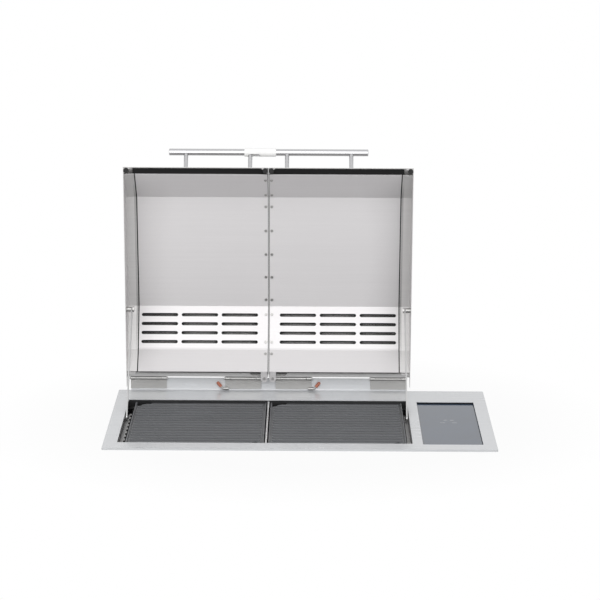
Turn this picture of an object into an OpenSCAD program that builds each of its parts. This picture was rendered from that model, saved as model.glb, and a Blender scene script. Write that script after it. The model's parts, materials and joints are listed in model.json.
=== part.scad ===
// Built-in electric grill with two hinged lids, drawn with both lids open.
// X runs right, Y runs back, Z runs up; Z = 0 is the worktop surface.
// All sizes are millimetres.

/* [Deck] */
// Overall width of the top plate
deck_w = 870; // [780:1:1000]
// Overall depth of the top plate
deck_d = 570; // [520:1:640]
// Height of the top plate above the worktop
lip_h = 5; // [4:0.5:8]
// Sheet thickness of the top plate
deck_t = 1.5; // [1:0.1:2]
// Corner radius of the top plate
corner_r = 4; // [2:0.5:10]
// Height of the upturned rear edge above the top plate
upstand_h = 30.5; // [24:0.5:30.5]

/* [Cooking well] */
// Plate left of the well
left_margin = 30.5; // [28:0.5:45]
// Plate in front of the well
front_margin = 52.5; // [50:0.5:70]
// Plate behind the well
rear_margin = 100; // [90:1:130]
// Depth of the tub below the worktop
tub_depth = 125; // [115:1:180]
// Sheet thickness of the tub
tub_t = 1.5; // [1:0.1:2]
// Space beside each grate for the stay guides
channel_w = 14.5; // [14:0.5:20]
// How far the pair of grates sits right of the seam
grate_shift = 2; // [0:0.5:2]
// Width of the strip between the grates
divider_w = 4; // [3:0.5:6]
// Gap on each side of that strip
divider_gap = 3; // [1:0.5:4]
// Distance between grate ridges
ridge_pitch = 24; // [14:1:26]
// Depth of the ridge tops below the top plate
grate_drop = 5; // [4:0.5:8]

/* [Touch panel] */
// Width of the glass
glass_w = 133.5; // [110:0.5:160]
// Length of the glass
glass_d = 412; // [360:1:440]
// Plate right of the glass
right_margin = 29.5; // [28:0.5:45]
// Plate between the well and the glass
web_w = 22.5; // [21:0.5:40]
// Plate in front of the glass
glass_front = 46; // [42:1:60]
// Thickness of the glass
glass_t = 4; // [3:0.5:6]
// Depth of the glass below the top plate
glass_drop = 4.5; // [3:0.5:6]
// Depth of the control housing below the worktop
housing_depth = 70; // [64:1:100]

/* [Lids] */
// Angle by which the lids stand open
open_angle = 82.5; // [70:0.5:88]
// How far each lid reaches past the side of the well
lid_over = 10.5; // [8:0.5:14]
// Gap between the two lids
seam_gap = 1.6; // [1.2:0.1:4]
// Distance of the closed front rim from the front of the plate
rim_front = 37; // [28:0.5:40]
// Height of the closed rim above the plate
rim_h = 4.5; // [4:0.5:7]
// Sheet thickness of the outer shell
shell_t = 1.2; // [0.8:0.1:2]
// Sheet thickness of the liner
liner_t = 1; // [0.8:0.1:1.5]
// Space between liner and shell
hood_gap = 9; // [8:0.5:14]
// Bend radius of the lid sheets
bend_r = 3; // [2:0.5:6]
// Space between the liner's free side and the shell's outside
liner_inset = 27.5; // [26:0.5:34]
// Run of the liner's rear face
rear_run = 40; // [36:1:46]
// Rise of the liner's rear face
rear_rise = 43; // [38:1:50]
// Run of the slotted face
vent_run = 91; // [84:1:100]
// Rise of the slotted face
vent_rise = 55.5; // [48:0.5:64]
// Fall of the main face towards the front
top_drop = 27; // [20:1:34]
// Run of the front skirt
skirt_run = 76; // [70:1:90]
// Length of one vent slot
slot_len = 87; // [60:1:87]
// Width of one vent slot
slot_w = 8; // [4:0.5:10]

/* [Handles] */
// Diameter of the handle bars
bar_d = 16; // [14:0.5:20]
// Length of each handle bar
bar_len = 233; // [200:1:260]
// Distance of the bar's centre from the skirt
bar_reach = 60; // [50:1:70]
// Diameter of the handle posts
post_d = 10; // [8:0.5:12]
// Distance of the inner post from the seam
post_in = 43; // [40:1:50]
// Distance of the outer post from the seam
post_out = 193; // [150:1:195]
// Outside diameter of the coupling sleeve
sleeve_d = 20; // [19:0.5:26]
// Length of the coupling sleeve
sleeve_len = 73.5; // [70:0.5:80]
// Length of the sleeve that covers the right bar
sleeve_grip = 17; // [12:0.5:20]

/* [Hinges and stays] */
// Radius of the hinge barrels
barrel_r = 4; // [3.5:0.1:4.5]
// Length of each hinge
hinge_len = 86; // [76:1:96]
// Height of the hinge axis above the plate
hinge_h = 30.5; // [29:0.5:34]
// Length of each stay between its centres
stay_len = 300; // [290:1:305]
// Width of each stay
stay_w = 12; // [10:0.5:14]
// Thickness of each stay
stay_t = 3; // [2.5:0.5:3]
// Distance of the stay's pin in front of the hinge
stay_a = 175; // [168:1:182]
// Height of the closed stay's pin above the plate
stay_b = 25; // [20:1:30]

/* [Fits] */
// Radial clearance of turning and sliding fits
run_fit = 0.06; // [0.04:0.01:0.1]
// Gap between parts that lift out and their neighbours
lift_gap = 1.5; // [1:0.5:3]

/* [Hidden] */
$fn = 48;
hw = deck_w / 2;
hd = deck_d / 2;
well_w = deck_w - left_margin - web_w - glass_w - right_margin;
well_d = deck_d - front_margin - rear_margin;
hood_x = -hw + left_margin + well_w / 2;
well_y = -hd + front_margin + well_d / 2;
glass_x = hw - right_margin - glass_w / 2;
glass_y = -hd + glass_front + glass_d / 2;
lid_half = well_w / 2 + lid_over;
top_z = lip_h;
gasket_w = 13;
gasket_t = lip_h - deck_t;
leaf_t = 2.5;
end_len = 12;
mid_x0 = end_len + 1;
mid_x1 = hinge_len - end_len - 1;
pin_r = 2.3;
axle_gap = 0.4;
hinge_back = deck_t + barrel_r + axle_gap;
cove_r = 4;
hy = hd - hinge_back;
hz = top_z + hinge_h;
// Closed lid profile: a runs forward from the hinge axis, b up from the plate.
rim_a = deck_d - hinge_back - rim_front;
base_a = 24.6;
base_b = 9;
skirt_b = base_b + rear_rise + vent_rise - top_drop;
edge_b = 8.5;
edge_a = rim_a - 15;
p0 = [base_a, base_b];
p1 = p0 + [rear_run, rear_rise];
p2 = p1 + [vent_run, vent_rise];
p3 = [edge_a - skirt_run, skirt_b];
p4 = [edge_a, edge_b];
liner_line = [p0, p1, p2, p3, p4];
liner_in = -lid_half + liner_inset;
frame_gap = 2.5;
seam_x = -seam_gap / 2;
screw_r = 1.5;
vent_edge = 24;
vent_gap = 8.6;
wall_in = seam_x - shell_t;
wall_step = 0.2;
plate_out = seam_gap / 5;
vent_cols = floor((wall_in - liner_in - vent_edge + vent_gap - 4) / (slot_len + vent_gap));
side_x = -lid_half + wall_step;
skirt_dir = (p4 - p3) / norm(p4 - p3);
skirt_nrm = [-skirt_dir[1], skirt_dir[0]];
leaf_slope = 33;
leaf_dir = [cos(leaf_slope), -sin(leaf_slope)];
leaf_nrm = [sin(leaf_slope), cos(leaf_slope)];
leaf_len = 19;
fold_in = leaf_nrm * (leaf_t / 2 + shell_t);
fold0 = [0, hinge_h] + leaf_dir * (barrel_r + 6) - fold_in;
fold1 = [0, hinge_h] + leaf_dir * (leaf_len + 3) - fold_in;
bumper_r = 6;
bumper_back = 6.8;
shell_mid = off(liner_line, hood_gap);
rim_t = (rim_h - shell_mid[3][1]) / skirt_dir[1];
rim_pt = shell_mid[3] + skirt_dir * rim_t;
shell_line = [fold0, fold1, shell_mid[1], shell_mid[2], shell_mid[3], rim_pt];
bar_s = 32;
bar_pt = rim_pt + skirt_nrm * (shell_t + bar_reach) - skirt_dir * bar_s;
post_foot = rim_pt + skirt_nrm * shell_t - skirt_dir * bar_s;
lever_r = 2.2;
lever_len = 16;
grip_r = 3.8;
stay_x = -lid_half + 14.5;
rail_t = 1.2;
foot_r = 5;
foot_z = top_z - 8;
grate_w = (well_w - 2 * channel_w - divider_w) / 2 - divider_gap;
grate_h = 15;
lift_r = 34;
grate_d = well_d - 2 * lift_gap;
grate_z = top_z - grate_drop - grate_h;
pan_z = -46;
pan_h = 15;
tube_r = 4;
tube_z = -34;
run_pitch = 44;
run_f = well_y - well_d / 2 + 50;
run_b = well_y + well_d / 2 - 55;
house_w = glass_w + 14;
house_d = glass_d + 14;
glass_lap = 5;
glass_z = top_z - glass_drop;
board_w = glass_w - 25.5;
board_d = glass_d - 92;
board_z = -14;
power_w = glass_w - 43.5;
power_d = 150;
power_y = -60;
standoff = 10;
// Where the stay's foot stands with the lid open.
pin_y = hy - stay_a * cos(open_angle) + (stay_b - hinge_h) * sin(open_angle);
pin_z = hz + stay_a * sin(open_angle) + (stay_b - hinge_h) * cos(open_angle);
stay_drop = asin((pin_z - foot_z) / stay_len);
foot_y = pin_y - stay_len * cos(stay_drop);
shut_y = hy - stay_a - sqrt(pow(stay_len, 2) - pow(top_z + stay_b - foot_z, 2));
// Screws along the seam as [face, share of the face].
seam_screws = [[3, 0.75], [3, 0.1], [2, 0.914], [2, 0.696], [2, 0.481], [2, 0.272], [2, 0.062],
    [1, 0.81], [1, 0.18], [0, 0.82]];

deck_plate();
counter_gasket();
tub();
centre_divider();
left_grate();
right_grate();
left_element();
right_element();
element_rests();
element_bushings();
left_probe();
right_probe();
left_reflector();
right_reflector();
left_drip_tray();
right_drip_tray();
left_guide_rail();
right_guide_rail();
touch_glass();
glass_seal();
control_housing();
control_board();
power_board();
terminal_block();
cable_gland();
hold_down_brackets();
hold_down_screws();
left_base_leaves();
right_base_leaves();
left_hinge_pins();
right_hinge_pins();
left_release_pin();
left_pin_grip();
right_release_pin();
right_pin_grip();
left_lid_shell();
left_lid_liner();
left_seam_plate();
left_front_seal();
left_bumpers();
left_lid_screws();
left_handle_bar();
left_handle_posts();
left_lid_leaves();
left_stay_stud();
left_stay();
left_stay_roller();
right_lid_shell();
right_lid_liner();
right_seam_plate();
right_front_seal();
right_bumpers();
right_lid_screws();
right_handle_bar();
right_handle_posts();
right_lid_leaves();
right_stay_stud();
right_stay();
right_stay_roller();
coupling_sleeve();

// Mitred offset of an open line, to its left.
function unit(v) = v / norm(v);
function left_of(v) = [-v[1], v[0]];
function off(p, d) = [for (i = [0:len(p) - 1]) let (
    n0 = i > 0 ? left_of(unit(p[i] - p[i - 1])) : left_of(unit(p[1] - p[0])),
    n1 = i < len(p) - 1 ? left_of(unit(p[i + 1] - p[i])) : n0) p[i] + d * (n0 + n1) / (1 + n0 * n1)];
function back(p) = [for (i = [len(p) - 1:-1:0]) p[i]];
function band(p, d0, d1) = concat(off(p, d0), back(off(p, d1)));
// Line with each inner corner turned into a bend of radius r.
function turn(v, a) = [v[0] * cos(a) - v[1] * sin(a), v[0] * sin(a) + v[1] * cos(a)];
function bend(p, i, r, n) = let (u = unit(p[i] - p[i - 1]), v = unit(p[i + 1] - p[i]),
    c = u[0] * v[1] - u[1] * v[0], s = c > 0 ? 1 : -1, t = acos(u * v),
    st = p[i] - u * r * tan(t / 2), o = st + s * left_of(u) * r)
    [for (k = [0:n]) o + turn(-s * left_of(u) * r, s * t * k / n)];
function bent(p, r, n = 4) = [for (i = [0:len(p) - 1])
    each (i == 0 || i == len(p) - 1) ? [p[i]] : bend(p, i, r, n)];
// Point at a share of one face of the liner, and that face's direction.
function face_pt(f, s) = liner_line[f] + (liner_line[f + 1] - liner_line[f]) * s;
function face_dir(f) = unit(liner_line[f + 1] - liner_line[f]);
function face_tilt(f) = atan2(face_dir(f)[1], face_dir(f)[0]);

// Plate with round corners, centred in X and Y, standing on Z = 0.
module plate(w, d, r, h) {
    linear_extrude(h) {
        square([w - 2 * r, d], center = true);
        square([w, d - 2 * r], center = true);
        for (x = [-1, 1], y = [-1, 1]) translate([x * (w / 2 - r), y * (d / 2 - r)]) circle(r);
    }
}
// Round bar along X between two places.
module rod(x0, x1, r) {
    translate([x0, 0, 0]) rotate([0, 90, 0]) cylinder(h = x1 - x0, r = r);
}
// Open box with a floor.
module pan(w, d, h, t, r) {
    difference() {
        plate(w, d, r, h);
        translate([0, 0, t]) plate(w - 2 * t, d - 2 * t, r - t / 2, h);
    }
}
// Carries a drawing in a and b to the closed lid, from x0 to x1.
module slice(x0, x1) {
    translate([x1, hy, top_z]) rotate([90, 0, -90]) linear_extrude(x1 - x0) children();
}
// Turns what is drawn on the closed lid to the open lid.
module opened() {
    translate([0, hy, hz]) rotate([-open_angle, 0, 0]) translate([0, -hy, -hz]) children();
}
module left_side() {
    translate([hood_x, 0, 0]) children();
}
module right_side() {
    translate([hood_x, 0, 0]) mirror([1, 0, 0]) children();
}
// Place on the closed lid, with local Z along the line that rises at the given tilt from forward.
module on_lid(x, p, tilt) {
    translate([x, hy - p[0], top_z + p[1]]) rotate([90 - tilt, 0, 0]) children();
}

module deck_plate() {
    color([0.80, 0.80, 0.81]) {
        difference() {
            translate([0, 0, top_z - deck_t]) plate(deck_w, deck_d, corner_r, deck_t);
            translate([hood_x, well_y, -1]) plate(well_w, well_d, 3, top_z + 2);
            translate([glass_x, glass_y, -1]) plate(glass_w, glass_d, 3, top_z + 2);
        }
        translate([0, 0, 0.4]) difference() {
            plate(deck_w, deck_d, corner_r, lip_h - 0.4);
            translate([0, 0, -1])
                plate(deck_w - 2 * deck_t, deck_d - 2 * deck_t, corner_r - deck_t, lip_h + 2);
        }
        translate([hood_x - well_w / 2 - 1, hd - deck_t, top_z - deck_t])
            cube([well_w + 2, deck_t, upstand_h + deck_t]);
        translate([hood_x - well_w / 2 - 1, hd - deck_t, top_z])
            rotate([90, 0, 90]) linear_extrude(well_w + 2)
            difference() {
                translate([-cove_r, -0.2]) square(cove_r + 0.2);
                translate([-cove_r, cove_r]) circle(cove_r);
            }
    }
}

module counter_gasket() {
    color([0.12, 0.12, 0.13]) difference() {
        plate(deck_w - 2 * deck_t - 1, deck_d - 2 * deck_t - 1, 3, gasket_t);
        translate([0, 0, -1])
            plate(deck_w - 2 * deck_t - 1 - 2 * gasket_w, deck_d - 2 * deck_t - 1 - 2 * gasket_w,
                3, gasket_t + 2);
    }
}

module ledge(z, w) {
    for (s = [-1, 1]) translate([hood_x - well_w / 2, well_y + s * (well_d / 2 - w / 2) - w / 2, z - tub_t])
        cube([well_w, w, tub_t]);
}
module tub() {
    color([0.62, 0.63, 0.64]) difference() {
        union() {
            translate([hood_x, well_y, -tub_depth])
                difference() {
                    plate(well_w + 2 * tub_t, well_d + 2 * tub_t, 4, tub_depth + gasket_t);
                    translate([0, 0, tub_t]) plate(well_w, well_d, 3, tub_depth + gasket_t);
                }
            translate([hood_x, well_y, gasket_t - tub_t]) difference() {
                plate(well_w + 16, well_d + 16, 6, tub_t);
                translate([0, 0, -1]) plate(well_w + tub_t, well_d + tub_t, 3, tub_t + 2);
            }
            ledge(grate_z, 11);
            ledge(pan_z, 11);
        }
        for (s = [-1, 1]) {
            for (k = [-2.5, 2.5])
                translate([hood_x + well_side(s) + k * run_pitch, 0, tube_z]) rear_hole(8);
            translate([hood_x + well_side(s), 0, tube_z]) rear_hole(4);
        }
    }
}
function well_side(s) = grate_shift + s * ((grate_w + divider_w) / 2 + divider_gap);
module rear_hole(r) {
    translate([0, well_y + well_d / 2 - 5, 0]) rotate([-90, 0, 0]) cylinder(h = 20, r = r);
}

module centre_divider() {
    color([0.85, 0.85, 0.85])
        translate([hood_x + grate_shift - divider_w / 2, well_y - well_d / 2, grate_z])
            cube([divider_w, well_d, grate_h + 2]);
}

module grate(s) {
    n = floor((grate_d - 14) / ridge_pitch);
    r0 = -(n - 1) * ridge_pitch / 2;
    translate([hood_x + well_side(s), well_y, grate_z]) difference() {
        union() {
            difference() {
                plate(grate_w, grate_d, 3, grate_h - 3);
                translate([0, 0, -1]) plate(grate_w - 12, grate_d - 24, 3, grate_h - 7);
            }
            for (k = [0:n - 1]) translate([0, r0 + k * ridge_pitch, grate_h - 3.5])
                translate([-grate_w / 2 + 8, 0, 0]) rotate([90, 0, 90]) linear_extrude(grate_w - 16)
                    polygon([[-5, 0], [5, 0], [3, 3.5], [-3, 3.5]]);
            for (x = [-1, 1]) translate([x * (grate_w / 2 - 1.5) - 1.5, 3 - grate_d / 2, grate_h - 3.5])
                cube([3, grate_d - 6, 3]);
        }
        for (k = [0:n - 2], x = [-1, 1])
            translate([x * grate_w / 4, r0 + (k + 0.5) * ridge_pitch, 0])
                translate([0, 0, -1]) plate(grate_w / 2 - 34, 5, 2.4, grate_h + 5);
        for (a = [0, 180]) rotate([0, 0, a])
            translate([4 - grate_w / 2, grate_d / 2 + 1, -1]) intersection() {
                cylinder(h = grate_h + 5, r = lift_r);
                translate([0, -lift_r, 0]) cube([lift_r, 2 * lift_r, grate_h + 5]);
            }
    }
}
module left_grate() {
    color([0.40, 0.41, 0.42]) grate(-1);
}
module right_grate() {
    color([0.40, 0.41, 0.42]) grate(1);
}

module element(s) {
    translate([hood_x + well_side(s), 0, tube_z]) {
        for (k = [0:5]) {
            x = (k - 2.5) * run_pitch;
            e = (k == 0 || k == 5) ? well_y + well_d / 2 + 32 : run_b;
            translate([x, run_f, 0]) rotate([-90, 0, 0]) cylinder(h = e - run_f, r = tube_r);
        }
        for (k = [0, 2, 4]) translate([(k - 2) * run_pitch, run_f, 0]) rotate([0, 0, 180])
            rotate_extrude(angle = 180) translate([run_pitch / 2, 0]) circle(tube_r);
        for (k = [1, 3]) translate([(k - 2) * run_pitch, run_b, 0])
            rotate_extrude(angle = 180) translate([run_pitch / 2, 0]) circle(tube_r);
    }
}
module left_element() {
    color([0.25, 0.25, 0.26]) element(-1);
}
module right_element() {
    color([0.25, 0.25, 0.26]) element(1);
}
module element_rests() {
    h = tube_z - (pan_z - pan_h + 1);
    color([0.72, 0.72, 0.73]) for (s = [-1, 1], y = [run_f + 60, run_b - 60])
        translate([hood_x + well_side(s), y, 0]) difference() {
            translate([-2.5 * run_pitch - 14, -1, tube_z - h]) cube([5 * run_pitch + 28, 2, h]);
            for (k = [-2.5:1:2.5]) translate([k * run_pitch, -5, tube_z]) rotate([-90, 0, 0])
                cylinder(h = 10, r = tube_r);
        }
}
module element_bushings() {
    color([0.90, 0.88, 0.84]) for (s = [-1, 1], k = [-2.5, 2.5])
        translate([hood_x + well_side(s) + k * run_pitch, well_y + well_d / 2, tube_z]) rotate([-90, 0, 0])
            difference() {
                union() {
                    cylinder(h = 22, r = 8);
                    translate([0, 0, -3]) cylinder(h = 3, r = 11);
                }
                translate([0, 0, -5]) cylinder(h = 40, r = tube_r);
            }
}
module probe(s) {
    translate([hood_x + well_side(s), well_y + well_d / 2, tube_z]) rotate([90, 0, 0]) {
        cylinder(h = 78, r = 2.5);
        translate([0, 0, 78]) sphere(2.5);
        cylinder(h = 4, r = 6.5, $fn = 6);
        translate([0, 0, -14]) cylinder(h = 14, r = 4);
    }
}
module left_probe() {
    color([0.80, 0.80, 0.80]) probe(-1);
}
module right_probe() {
    color([0.80, 0.80, 0.80]) probe(1);
}

module reflector(s) {
    w = grate_w - 2;
    d = well_d - 2 * 11 - 2;
    translate([hood_x + well_side(s), well_y, 0]) difference() {
        union() {
            translate([0, 0, pan_z - pan_h]) difference() {
                plate(w, d, 6, pan_h);
                translate([0, 0, 1]) plate(w - 2, d - 2, 5, pan_h);
            }
            translate([0, 0, pan_z]) difference() {
                plate(w, d + 20, 6, 1);
                translate([0, 0, -1]) plate(w - 2, d - 2, 5, 3);
            }
        }
        translate([0, 0, pan_z - pan_h - 1]) cylinder(h = 4, r = 14);
    }
}
module left_reflector() {
    color([0.78, 0.78, 0.79]) reflector(-1);
}
module right_reflector() {
    color([0.78, 0.78, 0.79]) reflector(1);
}
module drip_tray(s) {
    translate([hood_x + well_side(s), well_y, -tub_depth + tub_t]) {
        pan(grate_w - 14, well_d - 40, 26, 0.8, 10);
        translate([0, 0, 25]) difference() {
            plate(grate_w - 6, well_d - 32, 12, 1);
            translate([0, 0, -1]) plate(grate_w - 15.6, well_d - 41.6, 9, 3);
        }
    }
}
module left_drip_tray() {
    color([0.75, 0.75, 0.76]) drip_tray(-1);
}
module right_drip_tray() {
    color([0.75, 0.75, 0.76]) drip_tray(1);
}

// Channel in which the foot of a stay runs, beside the seam at X = 0.
module guide_rail(lip) {
    y0 = shut_y - 22;
    y1 = foot_y + 22;
    xo = -well_w / 2;
    xi = stay_x + 5.6;
    zf = foot_z - foot_r - 1.5;
    zt = top_z - 6;
    translate([0, y0, 0]) {
        translate([xo, 0, zf - rail_t]) cube([rail_t, y1 - y0, zt - zf + rail_t]);
        translate([xo, 0, zf - rail_t]) cube([xi + rail_t - xo, y1 - y0, rail_t]);
        translate([xi, 0, zf - rail_t]) cube([rail_t, y1 - y0, zt - zf + rail_t]);
        if (lip) difference() {
            translate([xi, 0, zt - rail_t]) cube([5, y1 - y0, rail_t]);
            for (k = [0:floor((y1 - y0 - 30) / 34)])
                translate([xi + 1.8, 8 + k * 34, zt - 3]) cube([4, 17, 6]);
        }
    }
}
module left_guide_rail() {
    color([0.82, 0.82, 0.82]) left_side() guide_rail(true);
}
module right_guide_rail() {
    color([0.82, 0.82, 0.82]) right_side() guide_rail(false);
}

module touch_glass() {
    color([0.50, 0.52, 0.56]) translate([glass_x, glass_y, glass_z - glass_t])
        plate(glass_w + 2 * glass_lap, glass_d + 2 * glass_lap, 3, glass_t);
}
module glass_seal() {
    color([0.08, 0.08, 0.09]) translate([glass_x, glass_y, glass_z]) difference() {
        plate(glass_w + 2 * glass_lap, glass_d + 2 * glass_lap, 3, glass_drop - deck_t);
        translate([0, 0, -1]) plate(glass_w, glass_d, 3, glass_drop);
    }
}
module control_housing() {
    ledge_z = glass_z - glass_t;
    color([0.60, 0.61, 0.62]) translate([glass_x, glass_y, 0]) difference() {
        union() {
            translate([0, 0, -housing_depth]) difference() {
                plate(house_w, house_d, 4, housing_depth + gasket_t);
                translate([0, 0, 1.2]) plate(house_w - 2.4, house_d - 2.4, 3, housing_depth + gasket_t);
            }
            translate([0, 0, ledge_z - 1.2]) difference() {
                plate(house_w - 1, house_d - 1, 3, 1.2);
                translate([0, 0, -1]) plate(glass_w - 14, glass_d - 14, 2, 4);
            }
            for (x = [-1, 1], y = [-1, 1]) {
                translate([x * (board_w / 2 - 8), y * (board_d / 2 - 10), -housing_depth])
                    cylinder(h = housing_depth + board_z, r = 4);
                translate([x * (power_w / 2 - 9), power_y + y * (power_d / 2 - 15), -housing_depth])
                    cylinder(h = standoff, r = 4);
            }
        }
        translate([0, house_d / 2 - 10, -housing_depth + 26]) rotate([-90, 0, 0]) cylinder(h = 20, r = 10);
    }
}
module control_board() {
    color([0.10, 0.32, 0.18]) translate([glass_x, glass_y, board_z]) {
        plate(board_w, board_d, 3, 1.6);
        for (k = [-1.5:1:1.5]) translate([0, k * (board_d - 40) / 4, 1.6]) plate(board_w - 38, 30, 2, 4);
    }
}
module power_board() {
    color([0.12, 0.30, 0.20]) translate([glass_x, glass_y + power_y, -housing_depth + standoff]) {
        plate(power_w, power_d, 3, 1.6);
        for (x = [-26, 0, 26]) translate([x - 9, -60, 1.6]) cube([18, 30, 16]);
        translate([-38, -10, 1.6]) cube([76, 30, 22]);
        for (x = [-24, 24]) translate([x, 50, 1.6]) cylinder(h = 24, r = 9);
    }
}
module terminal_block() {
    color([0.88, 0.86, 0.80]) translate([glass_x, glass_y + 130, -housing_depth + 1.2]) difference() {
        translate([-32, -11, 0]) cube([64, 22, 20]);
        for (k = [-1:1]) {
            translate([k * 20 - 7, -12, 8]) cube([14, 8, 20]);
            translate([k * 20 - 7, 4, 8]) cube([14, 8, 20]);
        }
    }
}
module cable_gland() {
    color([0.10, 0.10, 0.11]) translate([glass_x, glass_y + house_d / 2, -housing_depth + 26])
        rotate([-90, 0, 0]) difference() {
            union() {
                translate([0, 0, -12]) cylinder(h = 20, r = 10);
                cylinder(h = 6, r = 15, $fn = 6);
                translate([0, 0, 6]) cylinder(h = 14, r = 12);
                translate([0, 0, -6.2]) cylinder(h = 5, r = 15, $fn = 6);
            }
            translate([0, 0, -20]) cylinder(h = 60, r = 6.5);
        }
}

module hold_downs() {
    for (x = [-1, 1], s = [-1, 1]) translate([hood_x + x * well_w * 0.3, well_y, 0])
        rotate([0, 0, s > 0 ? 180 : 0]) translate([0, -well_d / 2 - tub_t, -62]) children();
}
module hold_down_brackets() {
    color([0.70, 0.71, 0.72]) hold_downs() difference() {
        union() {
            translate([-18, -2, 0]) cube([36, 2, 42]);
            translate([-18, -26, 0]) cube([36, 26, 2]);
        }
        translate([0, -16, -1]) cylinder(h = 4, r = 3);
    }
}
module hold_down_screws() {
    color([0.75, 0.75, 0.76]) hold_downs() translate([0, -16, 0]) {
        translate([0, 0, -12]) cylinder(h = 38, r = 3);
        translate([0, 0, 26]) cylinder(h = 3, r = 8);
        translate([-9, -1.5, -20]) cube([18, 3, 10]);
    }
}

// Places the two hinges of one lid, each from X = 0 to hinge_len.
module hinge_pair() {
    for (x = [-well_w / 2 - 2, -17 - hinge_len]) translate([x, hy, hz]) children();
}
module base_leaf() {
    z0 = top_z + cove_r + 0.5 - hz;
    leaf_d = leaf_t + axle_gap;
    difference() {
        union() {
            translate([0, barrel_r - leaf_t, z0]) cube([hinge_len, leaf_d, -z0 - barrel_r - 0.8]);
            translate([mid_x0, barrel_r - leaf_t, z0]) cube([mid_x1 - mid_x0, leaf_d, -z0]);
            rod(mid_x0, mid_x1, barrel_r);
        }
        rod(-1, hinge_len + 1, pin_r);
    }
}
module base_leaves() {
    difference() {
        union() {
            hinge_pair() base_leaf();
            pin_place() rod(-4, 8, lever_r + 1);
        }
        pin_place() rod(-6, 7, lever_r + run_fit);
    }
}
module left_base_leaves() {
    color([0.70, 0.70, 0.70]) left_side() base_leaves();
}
module right_base_leaves() {
    color([0.70, 0.70, 0.70]) right_side() base_leaves();
}
module hinge_pins() {
    hinge_pair() {
        rod(-0.8, hinge_len + 0.8, pin_r);
        rod(-2, -0.5, pin_r + 1.2);
        rod(hinge_len + 0.5, hinge_len + 2, pin_r + 1.2);
    }
}
module left_hinge_pins() {
    color([0.60, 0.60, 0.60]) left_side() hinge_pins();
}
module right_hinge_pins() {
    color([0.60, 0.60, 0.60]) right_side() hinge_pins();
}
// Bent pin that keeps the lid on its hinge.
module pin_place() {
    translate([-17 - hinge_len, hy + barrel_r - leaf_t - 2, top_z + 6]) children();
}
module lever_place() {
    pin_place() translate([-6.4, 0, 0]) rotate([0, -40, 0]) children();
}
module release_pin() {
    pin_place() {
        rod(-6.4, 6.5, lever_r);
        translate([-6.4, 0, 0]) sphere(lever_r);
    }
    lever_place() cylinder(h = lever_len, r = lever_r);
}
module pin_grip() {
    lever_place() difference() {
        union() {
            translate([0, 0, 6]) cylinder(h = lever_len - 5, r = grip_r);
            translate([0, 0, lever_len + 1]) sphere(grip_r);
        }
        translate([0, 0, 4]) cylinder(h = lever_len - 4, r = lever_r);
    }
}
module left_release_pin() {
    color([0.62, 0.62, 0.62]) left_side() release_pin();
}
module left_pin_grip() {
    color([0.75, 0.35, 0.25]) left_side() pin_grip();
}
module right_release_pin() {
    color([0.62, 0.62, 0.62]) right_side() release_pin();
}
module right_pin_grip() {
    color([0.75, 0.35, 0.25]) right_side() pin_grip();
}

// Outline of a lid's end wall from its first points on; the rest lies d outside the shell's inner face.
module end_wall(first, d) {
    rest = off(bent(shell_line, bend_r), d);
    intersection() {
        polygon(concat(first, [for (i = [6:len(rest) - 1]) rest[i]]));
        translate([-deck_d, rim_h + 0.3]) square(2 * deck_d);
    }
}
module gussets() {
    for (q = [[side_x + shell_t / 2, 18], [wall_in, -15]])
        translate([q[0], hy - rim_pt[0] + 0.6, top_z + rim_h + 0.3])
            linear_extrude(shell_t) polygon([[0, 0], [q[1], 0], [0, 14]]);
}
// Cut in the shell's rear fold beside the tab.
module fold_notch() {
    on_lid(0, [0, hinge_h], 90 - leaf_slope) translate([0, 0, -6]) linear_extrude(9.5)
        polygon([[-39, -12.5], [-14, -12.5], [-14, -32], [-50, -32]]);
}
module lid_shell() {
    opened() {
        difference() {
            slice(-lid_half, seam_x) polygon(band(bent(shell_line, bend_r), 0, shell_t));
            fold_notch();
        }
        slice(side_x, side_x + shell_t)
            end_wall([[-13, rim_h + 0.3], [-13, 16], [base_a - 16, hinge_h + 4]], shell_t / 2);
        slice(side_x + shell_t / 2, liner_in - frame_gap)
            polygon(band(bent(liner_line, bend_r), 0, liner_t));
        difference() {
            gussets();
            bumper_spots() cylinder(h = 20, r = screw_r);
        }
    }
}
// Plate that closes the space between shell and liner at the seam, with the liner's screw flange.
module seam_plate() {
    foot = fold1 + unit(shell_line[2] - fold1) * 4;
    low = rim_h + 0.3;
    opened() {
        slice(wall_in, seam_x + plate_out) intersection() {
            end_wall([[foot[0], low], foot], 0);
            polygon(concat([[-deck_d, low], [p0[0], low]], bent(liner_line, bend_r),
                [[p4[0], low], [2 * deck_d, low], [2 * deck_d, deck_d], [-deck_d, deck_d]]));
        }
        difference() {
            slice(wall_in - 12, wall_in + shell_t / 2)
                polygon(band(bent(liner_line, bend_r), liner_t, liner_t + shell_t));
            seam_holes();
        }
    }
}
module left_seam_plate() {
    color([0.50, 0.50, 0.50]) left_side() seam_plate();
}
module right_seam_plate() {
    color([0.50, 0.50, 0.50]) right_side() seam_plate();
}
module left_lid_shell() {
    color([0.78, 0.77, 0.77]) left_side() lid_shell();
}
module right_lid_shell() {
    color([0.78, 0.77, 0.77]) right_side() lid_shell();
}

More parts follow.
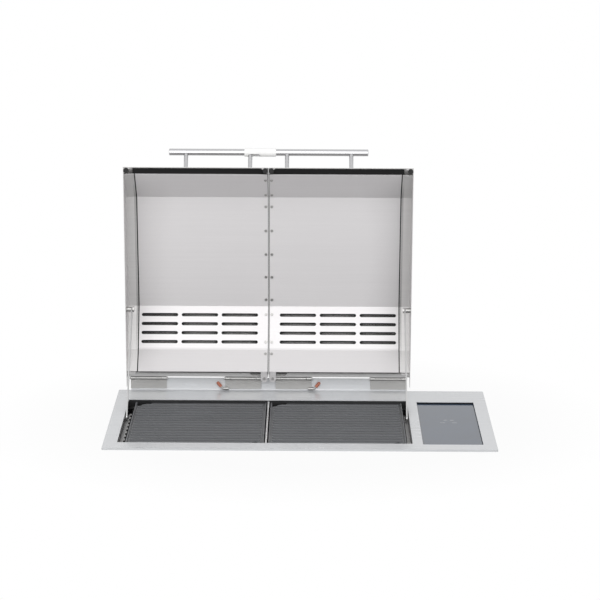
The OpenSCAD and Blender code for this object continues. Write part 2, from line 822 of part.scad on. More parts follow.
module lid_liner() {
    opened() difference() {
        union() {
            slice(liner_in, wall_in) polygon(band(bent(liner_line, bend_r), 0, liner_t));
            translate([wall_in - 16, hy - base_a, top_z + base_b]) tab();
        }
        for (r = [0:3], c = [0:vent_cols - 1]) vent_slot(r, c);
        seam_holes();
    }
}
module seam_places() {
    for (q = seam_screws) on_lid(wall_in - 5, face_pt(q[0], q[1]), face_tilt(q[0]) + 90) children();
}
module seam_holes() {
    seam_places() translate([0, 0, -3]) cylinder(h = 8, r = screw_r);
}
module tab() {
    linear_extrude(liner_t) difference() {
        union() {
            translate([0, -0.5]) square([16, 19]);
            translate([8, 18.5]) circle(8);
        }
        translate([8, 17]) circle(screw_r);
    }
}
module vent_slot(r, c) {
    x = wall_in - vent_edge - slot_len / 2 - c * (slot_len + vent_gap);
    on_lid(x, face_pt(1, 0.8 - r * 0.2065), face_tilt(1) + 90) translate([0, 0, -4])
        plate(slot_len, slot_w, slot_w / 2 - 0.01, 8);
}
module left_lid_liner() {
    color([0.84, 0.83, 0.83]) left_side() lid_liner();
}
module right_lid_liner() {
    color([0.84, 0.83, 0.83]) right_side() lid_liner();
}

module front_seal() {
    q0 = p4 + skirt_nrm * liner_t;
    q1 = p4 + skirt_nrm * hood_gap;
    opened() slice(liner_in - 5, wall_in - 12.5)
        polygon([q0 - skirt_dir * 8, q0, rim_pt - skirt_dir * 2.5, q1 - skirt_dir * 8]);
}
module left_front_seal() {
    color([0.05, 0.05, 0.05]) left_side() front_seal();
}
module right_front_seal() {
    color([0.05, 0.05, 0.05]) right_side() front_seal();
}

module bumper_spots() {
    for (x = [-lid_half + bumper_r + 1.2, seam_x - bumper_r - 0.4])
        translate([x, hy - rim_pt[0] + bumper_back, top_z]) children();
}
// Rubber buttons pushed into the gussets.
module bumpers() {
    opened() bumper_spots() {
        translate([0, 0, 0.5]) cylinder(h = rim_h - 0.2, r = bumper_r);
        translate([0, 0, rim_h]) cylinder(h = shell_t + 1, r = screw_r);
        translate([0, 0, rim_h + 0.3 + shell_t]) cylinder(h = 2, r = screw_r + 1);
    }
}
module left_bumpers() {
    color([0.15, 0.15, 0.15]) left_side() bumpers();
}
module right_bumpers() {
    color([0.15, 0.15, 0.15]) right_side() bumpers();
}
module screw(grip) {
    cylinder(h = grip, r = screw_r);
    translate([0, 0, -1.6]) difference() {
        cylinder(h = 1.6, r = 3);
        translate([-0.4, -2.2, -0.5]) cube([0.8, 4.4, 1.1]);
        translate([-2.2, -0.4, -0.5]) cube([4.4, 0.8, 1.1]);
    }
}
module lid_screws() {
    opened() {
        seam_places() screw(liner_t + shell_t + 1.5);
        translate([wall_in - 8, hy - base_a + 17, top_z + base_b]) screw(liner_t + 0.5);
    }
}
module left_lid_screws() {
    color([0.55, 0.55, 0.56]) left_side() lid_screws();
}
module right_lid_screws() {
    color([0.55, 0.55, 0.56]) right_side() lid_screws();
}

module bar_axis() {
    translate([0, hy - bar_pt[0], top_z + bar_pt[1]]) children();
}
module handle_bar() {
    opened() bar_axis() {
        rod(1.2 - bar_len, seam_x + 0.3, bar_d / 2);
        translate([-bar_len, 0, 0])
            rotate([0, 90, 0]) cylinder(h = 1.2, r1 = bar_d / 2 - 1.2, r2 = bar_d / 2);
    }
}
module handle_posts() {
    opened() difference() {
        for (x = [-post_out, -post_in])
            on_lid(x, post_foot, atan2(skirt_nrm[1], skirt_nrm[0])) cylinder(h = bar_reach, r = post_d / 2);
        bar_axis() rod(-bar_len - 10, 10, bar_d / 2);
    }
}
module left_handle_bar() {
    color([0.72, 0.72, 0.73]) left_side() handle_bar();
}
module right_handle_bar() {
    color([0.72, 0.72, 0.73]) right_side() handle_bar();
}
module left_handle_posts() {
    color([0.70, 0.70, 0.71]) left_side() handle_posts();
}
module right_handle_posts() {
    color([0.70, 0.70, 0.71]) right_side() handle_posts();
}
// Slotted tube that joins the two bars; the inner post runs in its slot and stops it at both ends.
module coupling_sleeve() {
    x0 = sleeve_grip - sleeve_len;
    slot_end = -post_in + sleeve_grip + 1.5;
    color([0.93, 0.93, 0.92]) left_side() opened() bar_axis() difference() {
        rod(x0, sleeve_grip, sleeve_d / 2);
        rod(x0 - 1, sleeve_grip + 1, bar_d / 2 + run_fit);
        rotate([90 - atan2(-skirt_nrm[1], -skirt_nrm[0]), 0, 0]) {
            translate([-post_in, -post_d / 2 - 0.6, 0])
                cube([slot_end + post_in, post_d + 1.2, sleeve_d]);
            for (x = [-post_in, slot_end])
                translate([x, 0, 0]) cylinder(h = sleeve_d, r = post_d / 2 + 0.6);
        }
    }
}

module lid_leaf() {
    s0 = barrel_r + 0.8;
    difference() {
        union() {
            leaf_plate(0, hinge_len, s0);
            leaf_plate(0, end_len, 0);
            leaf_plate(hinge_len - end_len, hinge_len, 0);
            rod(0, end_len, barrel_r);
            rod(hinge_len - end_len, hinge_len, barrel_r);
        }
        rod(-1, hinge_len + 1, pin_r + run_fit);
    }
}
module leaf_plate(x0, x1, s) {
    q = leaf_dir * s - leaf_nrm * leaf_t / 2;
    translate([x1, 0, 0]) rotate([90, 0, -90]) linear_extrude(x1 - x0)
        polygon([q, leaf_dir * leaf_len - leaf_nrm * leaf_t / 2, leaf_dir * leaf_len + leaf_nrm * 6,
            leaf_dir * (leaf_len - leaf_t) + leaf_nrm * 6,
            leaf_dir * (leaf_len - leaf_t) + leaf_nrm * leaf_t / 2, q + leaf_nrm * leaf_t]);
}
module left_lid_leaves() {
    color([0.66, 0.66, 0.66]) left_side() opened() hinge_pair() lid_leaf();
}
module right_lid_leaves() {
    color([0.66, 0.66, 0.66]) right_side() opened() hinge_pair() lid_leaf();
}

module stay_stud() {
    opened() translate([0, hy - stay_a, top_z + stay_b]) {
        rod(side_x + shell_t, stay_x - stay_t / 2 - 0.4, 6);
        rod(side_x + shell_t, stay_x + stay_t / 2 + 1, 3);
        rod(stay_x + stay_t / 2 + 0.4, stay_x + stay_t / 2 + 4, 6.5, $fn = 6);
    }
}
module left_stay_stud() {
    color([0.58, 0.58, 0.58]) left_side() stay_stud();
}
module right_stay_stud() {
    color([0.58, 0.58, 0.58]) right_side() stay_stud();
}
// Places a stay with its pin at the origin and its foot along local Y.
module stay_frame() {
    translate([0, pin_y, pin_z]) rotate([180 + stay_drop, 0, 0]) children();
}
module stay() {
    stay_frame() difference() {
        union() {
            translate([stay_x - stay_t / 2, 0, -stay_w / 2]) cube([stay_t, stay_len, stay_w]);
            rod(stay_x - stay_t / 2, stay_x + stay_t / 2, stay_w / 2);
            translate([0, stay_len, 0]) rod(stay_x - stay_t / 2, stay_x + stay_t / 2, stay_w / 2);
        }
        rod(stay_x - 5, stay_x + 5, 3 + run_fit);
        translate([0, stay_len, 0]) rod(stay_x - 5, stay_x + 5, 2);
    }
}
module stay_roller() {
    stay_frame() translate([0, stay_len, 0]) {
        rod(stay_x - stay_t / 2, stay_x + stay_t / 2, 2);
        rod(stay_x + stay_t / 2, stay_x + stay_t / 2 + 3.4, foot_r);
        rod(stay_x - stay_t / 2 - 0.7, stay_x - stay_t / 2, 3.4);
    }
}
module left_stay() {
    color([0.74, 0.74, 0.75]) left_side() stay();
}
module right_stay() {
    color([0.74, 0.74, 0.75]) right_side() stay();
}
module left_stay_roller() {
    color([0.15, 0.15, 0.16]) left_side() stay_roller();
}
module right_stay_roller() {
    color([0.15, 0.15, 0.16]) right_side() stay_roller();
}
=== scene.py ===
import json
import math

import bmesh
import bpy
from mathutils import Matrix, Vector

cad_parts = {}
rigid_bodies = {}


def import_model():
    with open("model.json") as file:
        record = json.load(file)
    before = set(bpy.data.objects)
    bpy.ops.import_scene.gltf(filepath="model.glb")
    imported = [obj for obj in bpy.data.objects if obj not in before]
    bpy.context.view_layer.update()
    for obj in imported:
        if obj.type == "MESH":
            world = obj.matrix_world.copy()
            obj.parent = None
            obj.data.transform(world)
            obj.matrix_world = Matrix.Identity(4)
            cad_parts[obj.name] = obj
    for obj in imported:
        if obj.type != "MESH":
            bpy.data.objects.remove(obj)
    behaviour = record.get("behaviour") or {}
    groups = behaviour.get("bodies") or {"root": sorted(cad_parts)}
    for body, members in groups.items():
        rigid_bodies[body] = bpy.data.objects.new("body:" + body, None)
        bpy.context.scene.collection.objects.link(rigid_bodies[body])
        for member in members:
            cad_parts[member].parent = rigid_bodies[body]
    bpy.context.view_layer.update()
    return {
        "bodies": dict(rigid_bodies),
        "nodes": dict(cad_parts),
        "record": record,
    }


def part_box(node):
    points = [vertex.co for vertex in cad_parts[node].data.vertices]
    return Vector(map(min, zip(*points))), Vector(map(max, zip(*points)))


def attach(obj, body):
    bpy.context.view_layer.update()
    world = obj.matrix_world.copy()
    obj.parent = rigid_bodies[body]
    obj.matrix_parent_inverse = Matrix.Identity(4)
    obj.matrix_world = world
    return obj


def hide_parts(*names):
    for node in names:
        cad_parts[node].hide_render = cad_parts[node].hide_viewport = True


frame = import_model()
nodes = frame["nodes"]
subparts = frame["record"]["subparts"]
scene = bpy.context.scene
print("frame loaded:", len(nodes), "nodes")


# camera, as the photograph was taken: metres for its place, degrees for its turns
cameraLook = {
    "place": (0.022, -6.244, 1.509),
    "pitchDown": 11.12,
    "yaw": -0.22,
    "roll": 0.24,
    "lens": 168.0,
    "sensor": 36.0,
    "reach": 200.0,
}


def makeCamera(look):
    pitch, yaw, roll = (math.radians(look[turn]) for turn in ("pitchDown", "yaw", "roll"))
    level = math.cos(pitch)
    ahead = Vector((math.sin(yaw) * level, math.cos(yaw) * level, -math.sin(pitch)))
    right = ahead.cross(Vector((0, 0, 1))).normalized()
    up = right.cross(ahead)
    across = right * math.cos(roll) + up * math.sin(roll)
    upright = up * math.cos(roll) - right * math.sin(roll)
    data = bpy.data.cameras.new("photoCamera")
    data.lens = look["lens"]
    data.sensor_width = look["sensor"]
    data.clip_end = look["reach"]
    camera = bpy.data.objects.new("photoCamera", data)
    turn = Matrix((across, upright, -ahead)).transposed()
    camera.matrix_world = Matrix.Translation(look["place"]) @ turn.to_4x4()
    scene.collection.objects.link(camera)
    scene.camera = camera


makeCamera(cameraLook)
scene.view_settings.view_transform = "Standard"
print("camera set")


# shader helpers
def addNode(tree, kind, settings=None, values=None):
    made = tree.nodes.new(kind)
    for name, value in (settings or {}).items():
        setattr(made, name, value)
    for name, value in (values or {}).items():
        made.inputs[name].default_value = value
    return made


def feed(tree, value, socket):
    # another node's output is linked, a plain value is written in
    if isinstance(value, bpy.types.NodeSocket):
        tree.links.new(value, socket)
    else:
        socket.default_value = value


def calculate(tree, operation, *values, kind="ShaderNodeMath"):
    made = addNode(tree, kind, {"operation": operation})
    for value, socket in zip(values, made.inputs):
        feed(tree, value, socket)
    return made.outputs[0]


def calculateVector(tree, operation, *values):
    return calculate(tree, operation, *values, kind="ShaderNodeVectorMath")


def scaleBy(tree, vector, factor):
    made = addNode(tree, "ShaderNodeVectorMath", {"operation": "SCALE"})
    feed(tree, vector, made.inputs[0])
    feed(tree, factor, made.inputs["Scale"])
    return made.outputs[0]


def separate(tree, vector):
    made = addNode(tree, "ShaderNodeSeparateXYZ")
    feed(tree, vector, made.inputs[0])
    return made.outputs


def remap(tree, value, fromSpan, toSpan):
    made = addNode(tree, "ShaderNodeMapRange", values={
        "From Min": fromSpan[0],
        "From Max": fromSpan[1],
        "To Min": toSpan[0],
        "To Max": toSpan[1],
    })
    feed(tree, value, made.inputs["Value"])
    return made.outputs["Result"]


def newGroup(name, inputs, outputs):
    group = bpy.data.node_groups.new(name, "ShaderNodeTree")
    for label, kind, value in inputs:
        socket = group.interface.new_socket(name=label, in_out="INPUT", socket_type=kind)
        if value is not None:
            socket.default_value = value
    for label, kind in outputs:
        group.interface.new_socket(name=label, in_out="OUTPUT", socket_type=kind)
    return group, group.nodes.new("NodeGroupInput"), group.nodes.new("NodeGroupOutput")


# grain of a surface: noises on Object coordinates, whose stretch is how often they change in a metre
grainInputs = [
    ("Vector", "NodeSocketVector", None),
    ("Colour", "NodeSocketColor", (0.5, 0.5, 0.5, 1.0)),
    ("Tone", "NodeSocketFloat", 0.1),
    ("Polish", "NodeSocketFloat", 0.4),
    ("Spread", "NodeSocketFloat", 0.08),
]
grainOutputs = [
    ("Colour", "NodeSocketColor"),
    ("Roughness", "NodeSocketFloat"),
    ("Height", "NodeSocketFloat"),
]
noiseSpan = (0.3, 0.7)  # nearly all of a noise lies in here


def noiseOn(tree, vector, look):
    noise = addNode(tree, "ShaderNodeTexNoise", values={
        "Scale": 1.0,
        "Detail": look["detail"],
        "Roughness": look["roughness"],
    })
    feed(tree, calculateVector(tree, "MULTIPLY", vector, look["stretch"]), noise.inputs["Vector"])
    return noise.outputs["Fac"]


def swing(tree, noise, reach):
    # a noise made to run from -reach to reach
    return remap(tree, noise, noiseSpan, (-reach, reach))


def tintAndPolish(group, start, end, toneShift, polishShift):
    # the given colour, lighter and darker by Tone, and the given roughness, changed by Spread
    tone = calculate(group, "MULTIPLY", toneShift, start.outputs["Tone"])
    tint = scaleBy(group, start.outputs["Colour"], calculate(group, "ADD", tone, 1.0))
    feed(group, tint, end.inputs["Colour"])
    rough = calculate(group, "MULTIPLY_ADD", polishShift, start.outputs["Spread"], start.outputs["Polish"])
    feed(group, rough, end.inputs["Roughness"])


# fine lines of brushed sheet, running along X, with a broad cloudy sheen
brushedLook = {
    "lines": {"stretch": (9.0, 1500.0, 1500.0), "detail": 3.0, "roughness": 0.5},
    "streaks": {"stretch": (2.5, 160.0, 160.0), "detail": 2.0, "roughness": 0.5},
    "clouds": {"stretch": (5.0, 7.0, 7.0), "detail": 3.0, "roughness": 0.6},
    "streakShare": 0.45,
    "linePolish": 0.5,
    "cloudPolish": 0.7,
    "depth": 0.0002,
}


def makeBrushedGrain(look):
    group, start, end = newGroup("brushedGrain", grainInputs, grainOutputs)
    place = start.outputs["Vector"]
    mixed = addNode(group, "ShaderNodeMix", {"data_type": "FLOAT"}, {"Factor": look["streakShare"]})
    feed(group, noiseOn(group, place, look["lines"]), mixed.inputs["A"])
    feed(group, noiseOn(group, place, look["streaks"]), mixed.inputs["B"])
    height = mixed.outputs["Result"]
    grain = swing(group, height, 1.0)
    sheen = swing(group, noiseOn(group, place, look["clouds"]), look["cloudPolish"])
    linePolish = calculate(group, "MULTIPLY", grain, look["linePolish"])
    tintAndPolish(group, start, end, grain, calculate(group, "ADD", linePolish, sheen))
    feed(group, height, end.inputs["Height"])
    return group


# cloudy tone and small pores of moulded, coated or cast stuff
mouldedLook = {
    "pores": {"stretch": (900.0, 900.0, 900.0), "detail": 2.0, "roughness": 0.5},
    "clouds": {"stretch": (14.0, 14.0, 14.0), "detail": 4.0, "roughness": 0.6},
    "porePolish": 0.6,
    "depth": 0.0003,
}


def makeMouldedGrain(look):
    inputs = grainInputs + [("Fineness", "NodeSocketFloat", 1.0)]
    group, start, end = newGroup("mouldedGrain", inputs, grainOutputs)
    sized = scaleBy(group, start.outputs["Vector"], start.outputs["Fineness"])
    pores = noiseOn(group, sized, look["pores"])
    clouds = swing(group, noiseOn(group, sized, look["clouds"]), 1.0)
    polish = calculate(group, "ADD", clouds, swing(group, pores, look["porePolish"]))
    tintAndPolish(group, start, end, clouds, polish)
    feed(group, pores, end.inputs["Height"])
    return group


brushedGrain = makeBrushedGrain(brushedLook)
mouldedGrain = makeMouldedGrain(mouldedLook)


def newMaterial(name):
    material = bpy.data.materials.new(name)
    material.use_nodes = True
    tree = material.node_tree
    place = addNode(tree, "ShaderNodeTexCoord").outputs["Object"]
    return material, tree, place


def dress(tree, colour, grain, relief, depth, metallic, level):
    shader = tree.nodes["Principled BSDF"]
    feed(tree, colour, shader.inputs["Base Color"])
    feed(tree, grain.outputs["Roughness"], shader.inputs["Roughness"])
    shader.inputs["Metallic"].default_value = metallic
    shader.inputs["Specular IOR Level"].default_value = level
    bump = addNode(tree, "ShaderNodeBump", values={"Strength": relief, "Distance": depth})
    feed(tree, grain.outputs["Height"], bump.inputs["Height"])
    feed(tree, bump.outputs["Normal"], shader.inputs["Normal"])


def paintedEdgeShade(tree, colour, edge):
    # painted shade: faces of an upright sheet that face anywhere but along X are made near black
    normal = addNode(tree, "ShaderNodeTexCoord").outputs["Normal"]
    along = calculate(tree, "ABSOLUTE", separate(tree, normal)["X"])
    shadedEdges = addNode(tree, "ShaderNodeMix", {"data_type": "RGBA"}, {"A": (*edge["colour"], 1.0)})
    feed(tree, remap(tree, along, edge["turn"], (0.0, 1.0)), shadedEdges.inputs["Factor"])
    feed(tree, colour, shadedEdges.inputs["B"])
    return shadedEdges.outputs["Result"]


def withPaintedShade(tree, colour, place, paintedShade):
    # painted shade: the colour is darkened where walls shut the sheet in, found by ambient occlusion
    shut = addNode(tree, "ShaderNodeAmbientOcclusion", values={"Distance": paintedShade["reach"]})
    unshaded = remap(tree, shut.outputs["AO"], paintedShade["open"], (paintedShade["low"], 1.0))
    if "slots" in paintedShade:
        # the painted shade lies only behind the slots, not on the fold below them or the frames beside them
        slots = paintedShade["slots"]
        spot = separate(tree, place)
        aside = calculate(tree, "ABSOLUTE", calculate(tree, "SUBTRACT", spot["X"], slots["middle"]))
        for distance, span in ((spot["Z"], slots["above"]), (aside, slots["within"])):
            unshaded = calculate(tree, "MAXIMUM", unshaded, remap(tree, distance, span, (1.0, 0.0)))
    if "fold" in paintedShade:
        # painted shade: the lowest fold is darker all over
        fold = paintedShade["fold"]
        tone = remap(tree, separate(tree, place)["Z"], fold["below"], (fold["tone"], 1.0))
        unshaded = calculate(tree, "MULTIPLY", unshaded, tone)
    return scaleBy(tree, colour, unshaded)


# short bars printed on the glass, where a finger works it: place from its middle and half size, in metres
touchLook = {
    "colour": (0.20, 0.21, 0.23),
    "blur": 0.0003,
    "bars": [
        ((-0.00595, 0.0415), (0.0040, 0.0030)),
        ((0.00855, 0.0415), (0.0040, 0.0030)),
        ((-0.01345, 0.0170), (0.0055, 0.0025)),
        ((0.01325, 0.0170), (0.0055, 0.0025)),
    ],
}


def makePrintedBar(look):
    inputs = [(label, "NodeSocketVector", None) for label in ("Vector", "Middle", "Half")]
    group, start, end = newGroup("printedBar", inputs, [("Mask", "NodeSocketFloat")])
    off = calculateVector(group, "SUBTRACT", start.outputs["Vector"], start.outputs["Middle"])
    size = calculateVector(group, "ABSOLUTE", off)
    past = separate(group, calculateVector(group, "SUBTRACT", size, start.outputs["Half"]))
    most = calculate(group, "MAXIMUM", past["X"], past["Y"])
    feed(group, remap(group, most, (-look["blur"], look["blur"]), (1.0, 0.0)), end.inputs["Mask"])
    return group


printedBar = makePrintedBar(touchLook)


def printBars(tree, colour, place, look):
    low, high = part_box("touch_glass")
    glassMiddle = (low + high) / 2
    mask = 0.0
    for offset, half in look["bars"]:
        # the half size is ample in Z, so that only X and Y bound a bar
        bar = addNode(tree, "ShaderNodeGroup", {"node_tree": printedBar}, {
            "Middle": glassMiddle + Vector((*offset, 0.0)),
            "Half": (*half, 1.0),
        })
        feed(tree, place, bar.inputs["Vector"])
        mask = calculate(tree, "MAXIMUM", mask, bar.outputs["Mask"])
    printed = addNode(tree, "ShaderNodeMix", {"data_type": "RGBA"}, {"B": (*look["colour"], 1.0)})
    feed(tree, mask, printed.inputs["Factor"])
    feed(tree, colour, printed.inputs["A"])
    return printed.outputs["Result"]


def steel(name, colour, polish, spread=0.06, tone=0.05, turn=0.0, relief=0.05, metallic=1.0, level=0.5,
          paintedShade=None, edge=None):
    material, tree, place = newMaterial(name)
    turned = addNode(tree, "ShaderNodeMapping", values={"Rotation": (0.0, 0.0, math.radians(turn))})
    feed(tree, place, turned.inputs["Vector"])
    grain = addNode(tree, "ShaderNodeGroup", {"node_tree": brushedGrain}, {
        "Colour": (*colour, 1.0),
        "Tone": tone,
        "Polish": polish,
        "Spread": spread,
    })
    feed(tree, turned.outputs["Vector"], grain.inputs["Vector"])
    shown = grain.outputs["Colour"]
    # painted shade, near black, on the faces that do not face along X
    if edge:
        shown = paintedEdgeShade(tree, shown, edge)
    # painted shade from ambient occlusion darkens the colour where the sheet is shut in
    if paintedShade:
        shown = withPaintedShade(tree, shown, place, paintedShade)
    dress(tree, shown, grain, relief, brushedLook["depth"], metallic, level)
    return material


def moulded(name, colour, polish, spread=0.06, tone=0.1, fineness=1.0, relief=0.1, metallic=0.0, level=0.5,
            bars=None):
    material, tree, place = newMaterial(name)
    grain = addNode(tree, "ShaderNodeGroup", {"node_tree": mouldedGrain}, {
        "Colour": (*colour, 1.0),
        "Tone": tone,
        "Polish": polish,
        "Spread": spread,
        "Fineness": fineness,
    })
    feed(tree, place, grain.inputs["Vector"])
    shown = grain.outputs["Colour"]
    if bars:
        shown = printBars(tree, shown, place, bars)
    dress(tree, shown, grain, relief, mouldedLook["depth"], metallic, level)
    return material


# the liners: the seam between them, how far they reach from it, and their lowest edge
leftLiner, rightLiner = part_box("left_lid_liner"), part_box("right_lid_liner")
seam = (leftLiner[1].x + rightLiner[0].x) / 2
linerReach = rightLiner[1].x - seam
linerFoot = rightLiner[0].z

# where painted shade lies: how far it looks for walls, its darkest tone, and the openness from fully shaded
# to unshaded
# painted shade on the hinge leaves where nearby parts shut them in
hingeShade = {"reach": 0.06, "low": 0.85, "open": (0.3, 0.85)}
# painted shade in the grooves and corners of the grates, down to a third of the colour
grateShade = {"reach": 0.02, "low": 0.3, "open": (0.35, 0.9)}
# painted shade on the liner where it is shut in, and on its lowest fold all over
linerShade = {
    "reach": 0.12,
    "low": 0.70,
    "open": (0.45, 0.95),
    "fold": {"below": (linerFoot + 0.0732, linerFoot + 0.0772), "tone": 0.84},
}
# painted shade, near black, on the shell's inner face behind the slots
shellShade = {
    "reach": 0.12,
    "low": 0.03,
    "open": (0.40, 0.70),
    "slots": {
        "above": (linerFoot + 0.0152, linerFoot + 0.0252),
        "middle": seam,
        "within": (linerReach + 0.008, linerReach + 0.003),
    },
}
# near-black painted shade on the seam plates' faces, and the span of the turn over which it fades in
seamEdgeShade = {"colour": (0.055, 0.055, 0.055), "turn": (0.4, 0.6)}

# one finish for each material slot
finishes = {
    "deck_steel": steel(
        "deckSteel", (0.60, 0.61, 0.625), polish=0.25, spread=0.04, relief=0.04, metallic=0.17, level=0.12),
    "tub_steel": steel(
        "tubSteel", (0.50, 0.50, 0.51), polish=0.36, spread=0.10, tone=0.08),
    "tub_enamel": moulded(
        "tubEnamel", (0.012, 0.012, 0.013), polish=0.35, tone=0.2),
    "bright_steel": steel(
        "brightSteel", (0.70, 0.70, 0.70), polish=0.22, spread=0.05, tone=0.03, turn=90.0),
    "guide_steel": steel(
        "guideSteel", (0.24, 0.24, 0.24), polish=0.40, tone=0.08, turn=90.0),
    "stay_steel": steel(
        "staySteel", (0.52, 0.52, 0.52), polish=0.38, turn=90.0, metallic=0.8),
    "hinge_steel": steel(
        "hingeSteel", (0.42, 0.415, 0.405), polish=0.34, metallic=0.8, paintedShade=hingeShade),
    "shell_steel": steel(
        "shellSteel", (0.66, 0.65, 0.645), polish=0.46, spread=0.05, tone=0.04, metallic=0.3, level=0.2,
        paintedShade=shellShade),
    # the seam plates' dark grey, darker than the shell sheet, is painted shade of the narrow seam between
    # the lids
    "seam_steel": steel(
        "seamSteelShaded", (0.26, 0.255, 0.25), polish=0.5, spread=0.05, tone=0.04, metallic=0.2, level=0.3,
        edge=seamEdgeShade),
    "liner_steel": steel(
        "linerSteel", (0.80, 0.782, 0.788), polish=0.46, spread=0.04, tone=0.02, relief=0.03, metallic=0.2,
        level=0.4, paintedShade=linerShade),
    "handle_steel": steel(
        "handleSteel", (0.53, 0.53, 0.54), polish=0.24, spread=0.05),
    "element_sheath": moulded(
        "elementSheath", (0.055, 0.05, 0.048), polish=0.5, spread=0.08, tone=0.35, relief=0.15,
        metallic=0.6),
    "tray_aluminium": moulded(
        "trayAluminium", (0.66, 0.66, 0.67), polish=0.34, spread=0.08, tone=0.06, fineness=0.6, relief=0.15,
        metallic=1.0),
    "grate_coating": steel(
        "grateCoating", (0.079, 0.083, 0.090), polish=0.42, tone=0.3, relief=0.15, metallic=0.0,
        paintedShade=grateShade),
    "ceramic": moulded(
        "glazedCeramic", (0.78, 0.76, 0.70), polish=0.25, tone=0.05, relief=0.05),
    "panel_glass": moulded(
        "panelGlass", (0.026, 0.044, 0.078), polish=0.06, spread=0.02, fineness=0.6, relief=0.0, level=0.30,
        bars=touchLook),
    "black_rubber": moulded(
        "blackRubber", (0.008, 0.008, 0.008), polish=0.62, spread=0.08, tone=0.2, relief=0.2, level=0.2),
    "grey_rubber": moulded(
        "greyRubber", (0.022, 0.022, 0.022), polish=0.6, spread=0.08, tone=0.2, relief=0.2, level=0.3),
    "circuit_board": moulded(
        "circuitBoard", (0.03, 0.14, 0.06), polish=0.35, tone=0.3),
    "black_plastic": moulded(
        "blackPlastic", (0.02, 0.02, 0.021), polish=0.45, tone=0.15, relief=0.2),
    "red_grip": moulded(
        "redGrip", (0.40, 0.14, 0.085), polish=0.45, tone=0.2, fineness=1.5, relief=0.15),
    "sleeve_plastic": moulded(
        "sleevePlastic", (0.88, 0.88, 0.875), polish=0.42, spread=0.05, tone=0.03, relief=0.05, level=0.3),
}
for part in subparts:
    mesh = nodes[part["node"]].data
    mesh.materials.clear()
    mesh.materials.append(finishes[part["material_slot"]])
print("finishes given to", len(subparts), "nodes")


# broken edges: how far, in metres, the sharp edges of a piece are taken off
edgeWidths = {
    "deck_plate": 0.0006,
    "touch_glass": 0.0005,
    "left_grate": 0.0005,
    "right_grate": 0.0005,
    "centre_divider": 0.0004,
    "left_lid_shell": 0.0003,
    "right_lid_shell": 0.0003,
    "left_stay": 0.0004,
    "right_stay": 0.0004,
    "left_base_leaves": 0.0003,
    "right_base_leaves": 0.0003,
    "left_lid_leaves": 0.0003,
    "right_lid_leaves": 0.0003,
}
# the turn between two faces, in degrees, above which their edge is broken, above which it is shaded as
# a crease, and below which it is dissolved
edgeLook = {"sharpTurn": 35.0, "shadeTurn": 16.0, "flatTurn": 0.5, "merge": 1e-6, "segments": 2}


def softEdges(part, width, look):
    # a merged copy of the node with its sharp edges broken takes the node's place
    name = part["node"]
    sharpTurn, shadeTurn, flatTurn = (math.radians(look[k]) for k in ("sharpTurn", "shadeTurn", "flatTurn"))
    bm = bmesh.new()
    bm.from_mesh(nodes[name].data)
    bmesh.ops.remove_doubles(bm, verts=bm.verts, dist=look["merge"])
    bmesh.ops.dissolve_limit(bm, angle_limit=flatTurn, verts=bm.verts, edges=bm.edges)
    sharp = [e for e in bm.edges if len(e.link_faces) == 2 and e.calc_face_angle() > sharpTurn]
    bmesh.ops.bevel(bm, geom=sharp, offset=width, offset_type="OFFSET", segments=look["segments"],
                    profile=0.5, affect="EDGES", material=-1, clamp_overlap=True)
    bmesh.ops.triangulate(bm, faces=[f for f in bm.faces if len(f.verts) > 4])
    mesh = bpy.data.meshes.new(name + "_soft")
    bm.to_mesh(mesh)
    bm.free()
    mesh.polygons.foreach_set("use_smooth", [True] * len(mesh.polygons))
    mesh.set_sharp_from_angle(angle=shadeTurn)
    mesh.materials.append(finishes[part["material_slot"]])
    piece = bpy.data.objects.new(name + "_soft", mesh)
    scene.collection.objects.link(piece)
    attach(piece, next(body for body, empty in frame["bodies"].items() if empty == nodes[name].parent))
    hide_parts(name)


softened = [part for part in subparts if part["node"] in edgeWidths]
for part in softened:
    softEdges(part, edgeWidths[part["node"]], edgeLook)
print("edges broken on", len(softened), "pieces")


# worktop that the deck lies on, open where the tub and the control box hang through
worktopLook = {
    "half": 14.0,
    "overlap": {"sides": 0.0185, "front": 0.0205, "back": 0.068},  # how far the deck lies on it
    "colour": (0.35, 0.35, 0.35),
    "glow": 0.95,
    "fade": (0.45, 0.75),
}


def seenRays(tree):
    # rays of the camera, straight, mirrored or through glass
    path = addNode(tree, "ShaderNodeLightPath")
    seen = calculate(tree, "MAXIMUM", path.outputs["Is Camera Ray"], path.outputs["Is Glossy Ray"])
    return calculate(tree, "MAXIMUM", seen, path.outputs["Is Transmission Ray"])


def makeWorktopMesh(look):
    low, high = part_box("deck_plate")
    overlap = look["overlap"]
    left, right = low.x + overlap["sides"], high.x - overlap["sides"]
    front, back = low.y + overlap["front"], high.y - overlap["back"]
    cuts = [((x, 0, 0), (1, 0, 0)) for x in (left, right)]
    cuts += [((0, y, 0), (0, 1, 0)) for y in (front, back)]

    def inHole(face):
        middle = face.calc_center_median()
        return left < middle.x < right and front < middle.y < back

    bm = bmesh.new()
    bmesh.ops.create_grid(bm, x_segments=1, y_segments=1, size=look["half"])
    for spot, way in cuts:
        everything = bm.verts[:] + bm.edges[:] + bm.faces[:]
        bmesh.ops.bisect_plane(bm, geom=everything, plane_co=spot, plane_no=way)
    bmesh.ops.delete(bm, geom=[f for f in bm.faces if inHole(f)], context="FACES")
    mesh = bpy.data.meshes.new("worktop")
    bm.to_mesh(mesh)
    bm.free()
    return mesh


def mixShaders(tree, factor, first, second):
    mixed = addNode(tree, "ShaderNodeMixShader")
    feed(tree, factor, mixed.inputs["Fac"])
    feed(tree, first.outputs[0], mixed.inputs[1])
    feed(tree, second.outputs[0], mixed.inputs[2])
    return mixed


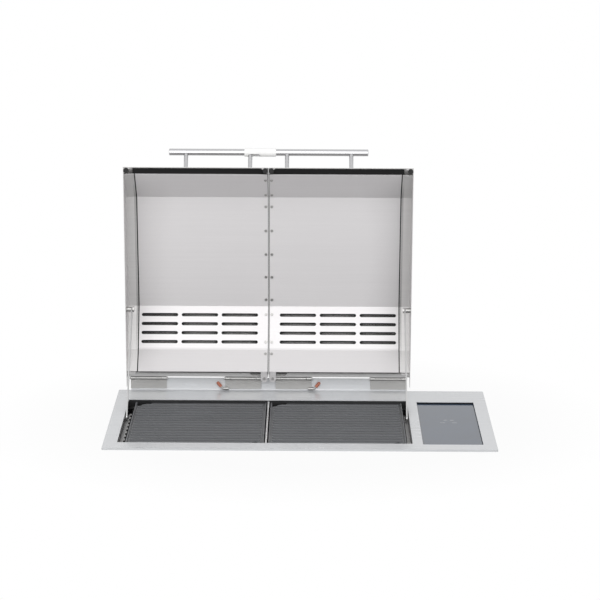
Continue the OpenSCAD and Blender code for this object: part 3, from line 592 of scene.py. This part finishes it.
def makeWorktopFinish(look):
    material = bpy.data.materials.new("paleWorktop")
    material.use_nodes = True
    tree = material.node_tree
    tree.nodes.remove(tree.nodes["Principled BSDF"])
    matt = addNode(tree, "ShaderNodeBsdfDiffuse", values={"Color": (*look["colour"], 1.0)})
    glow = addNode(tree, "ShaderNodeEmission", values={"Color": (1.0, 1.0, 1.0, 1.0), "Strength": 1.0})
    # the seen floor keeps part of its shading near the object and fades to plain white around it
    far = addNode(tree, "ShaderNodeVectorMath", {"operation": "LENGTH"})
    feed(tree, addNode(tree, "ShaderNodeTexCoord").outputs["Object"], far.inputs[0])
    fade = remap(tree, far.outputs["Value"], look["fade"], (look["glow"], 1.0))
    top = mixShaders(tree, calculate(tree, "MULTIPLY", seenRays(tree), fade), matt, glow)
    # seen from below it is clear, so the underside of the part shows
    under = addNode(tree, "ShaderNodeNewGeometry").outputs["Backfacing"]
    sides = mixShaders(tree, under, top, addNode(tree, "ShaderNodeBsdfTransparent"))
    feed(tree, sides.outputs[0], tree.nodes["Material Output"].inputs["Surface"])
    return material


def makeWorktop(look):
    mesh = makeWorktopMesh(look)
    mesh.materials.append(makeWorktopFinish(look))
    floor = bpy.data.objects.new("worktop", mesh)
    scene.collection.objects.link(floor)


makeWorktop(worktopLook)
print("worktop laid")


# soft studio light: places and sizes in metres, radiance where 1 is white
studioLook = {
    "ambient": 0.72,
    "softboxes": [
        {
            "name": "frontBox",
            "place": (0.0, -2.7, 2.4),
            "aim": (-0.08, 0.25, 0.3),
            "size": (4.4, 2.8),
            "radiance": 1.15,
        },
        {
            "name": "lowBox",
            "place": (0.0, -4.2, 1.35),
            "aim": (-0.08, 0.25, 0.35),
            "size": (4.4, 2.4),
            "radiance": 1.8,
        },
    ],
}


def makeWorld(look):
    world = bpy.data.worlds.new("studio")
    world.use_nodes = True
    scene.world = world
    tree = world.node_tree
    sky = tree.nodes["Background"]
    sky.inputs["Color"].default_value = (1.0, 1.0, 1.0, 1.0)
    # white where it is seen, dimmer where it lights the object
    feed(tree, remap(tree, seenRays(tree), (0.0, 1.0), (look["ambient"], 1.0)), sky.inputs["Strength"])


def makeSoftbox(box):
    data = bpy.data.lights.new(box["name"], "AREA")
    data.shape = "RECTANGLE"
    width, height = box["size"]
    data.size = width
    data.size_y = height
    data.energy = box["radiance"] * math.pi * width * height
    lamp = bpy.data.objects.new(box["name"], data)
    lamp.location = box["place"]
    way = Vector(box["aim"]) - Vector(box["place"])
    lamp.rotation_euler = way.to_track_quat("-Z", "Y").to_euler()
    scene.collection.objects.link(lamp)


makeWorld(studioLook)
for box in studioLook["softboxes"]:
    makeSoftbox(box)
print("studio lit")
